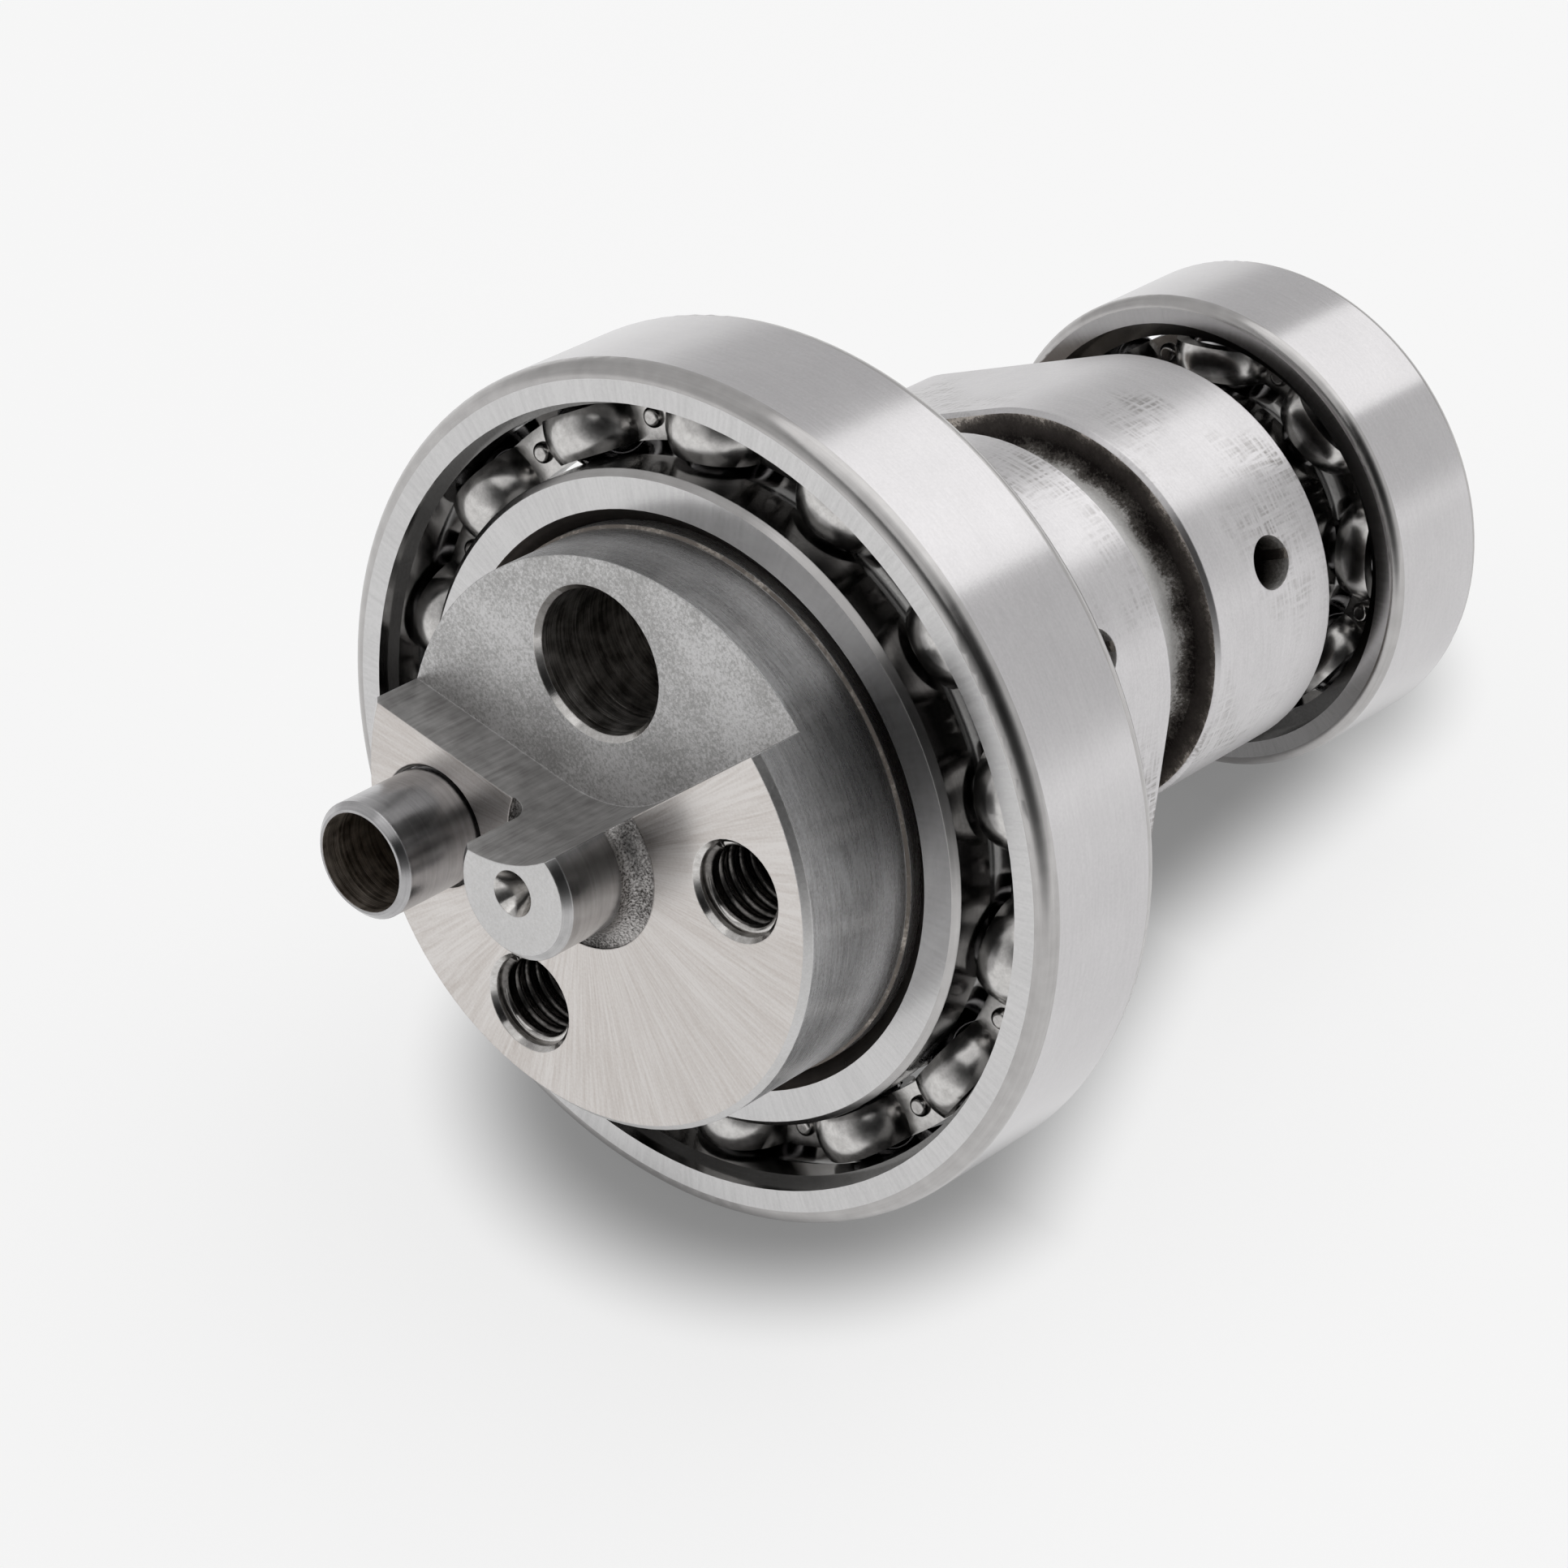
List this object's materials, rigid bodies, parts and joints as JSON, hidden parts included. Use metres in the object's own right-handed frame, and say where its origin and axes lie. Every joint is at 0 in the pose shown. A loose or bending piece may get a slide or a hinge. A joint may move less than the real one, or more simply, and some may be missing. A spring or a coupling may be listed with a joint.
{
  "type": "camshaft",
  "caption": "Engine camshaft with cam lobes, oil holes, a pocketed nose with a hollow dowel and threaded sprocket holes, and open ball bearings at both ends.",
  "frame": {"origin": "centre of the rear end, where the shaft axis meets the plane of the rear bearing's outer face", "axes": "+Z runs along the shaft from the rear end to the nose; -Y is the side that the picture's camera looks from"},
  "size_m": [0.047, 0.047, 0.0652],
  "materials": {
    "ground_steel": "ground steel with as-forged dark web faces",
    "turned_steel": "turned steel",
    "bearing_steel": "finely ground bearing steel",
    "ball_steel": "polished bearing steel",
    "pressed_steel": "pressed sheet steel",
    "rivet_steel": "cold headed steel"
  },
  "bodies": {
    "camshaft": {"camshaft": "ground_steel", "locating_dowel": "turned_steel", "front_inner_ring": "bearing_steel", "rear_inner_ring": "bearing_steel"},
    "front_ring": {"front_outer_ring": "bearing_steel"},
    "front_cage": {"front_ball_01": "ball_steel", "front_ball_02": "ball_steel", "front_ball_03": "ball_steel", "front_ball_04": "ball_steel", "front_ball_05": "ball_steel", "front_ball_06": "ball_steel", "front_ball_07": "ball_steel", "front_ball_08": "ball_steel", "front_ball_09": "ball_steel", "front_ball_10": "ball_steel", "front_ball_11": "ball_steel", "front_ball_12": "ball_steel", "front_ball_13": "ball_steel", "front_ball_14": "ball_steel", "front_cage_nose_side": "pressed_steel", "front_cage_lobe_side": "pressed_steel", "front_cage_rivets": "rivet_steel"},
    "rear_ring": {"rear_outer_ring": "bearing_steel"},
    "rear_cage": {"rear_ball_01": "ball_steel", "rear_ball_02": "ball_steel", "rear_ball_03": "ball_steel", "rear_ball_04": "ball_steel", "rear_ball_05": "ball_steel", "rear_ball_06": "ball_steel", "rear_ball_07": "ball_steel", "rear_ball_08": "ball_steel", "rear_cage_lobe_side": "pressed_steel", "rear_cage_end_side": "pressed_steel", "rear_cage_rivets": "rivet_steel"}
  },
  "joints": [
    {"name": "front_ring_spin", "type": "hinge", "parent": "camshaft", "child": "front_ring", "pos_m": [0, 0, 0.0476], "axis": [0, 0, 1], "continuous": true},
    {"name": "front_cage_spin", "type": "hinge", "parent": "camshaft", "child": "front_cage", "pos_m": [0, 0, 0.0476], "axis": [0, 0, 1], "continuous": true},
    {"name": "rear_ring_spin", "type": "hinge", "parent": "camshaft", "child": "rear_ring", "pos_m": [0, 0, 0.004], "axis": [0, 0, 1], "continuous": true},
    {"name": "rear_cage_spin", "type": "hinge", "parent": "camshaft", "child": "rear_cage", "pos_m": [0, 0, 0.004], "axis": [0, 0, 1], "continuous": true}
  ],
  "couplings": [
    {"joint": "front_cage_spin", "follows": "front_ring_spin", "ratio": 0.56129},
    {"joint": "rear_cage_spin", "follows": "rear_ring_spin", "ratio": 0.61905}
  ]
}
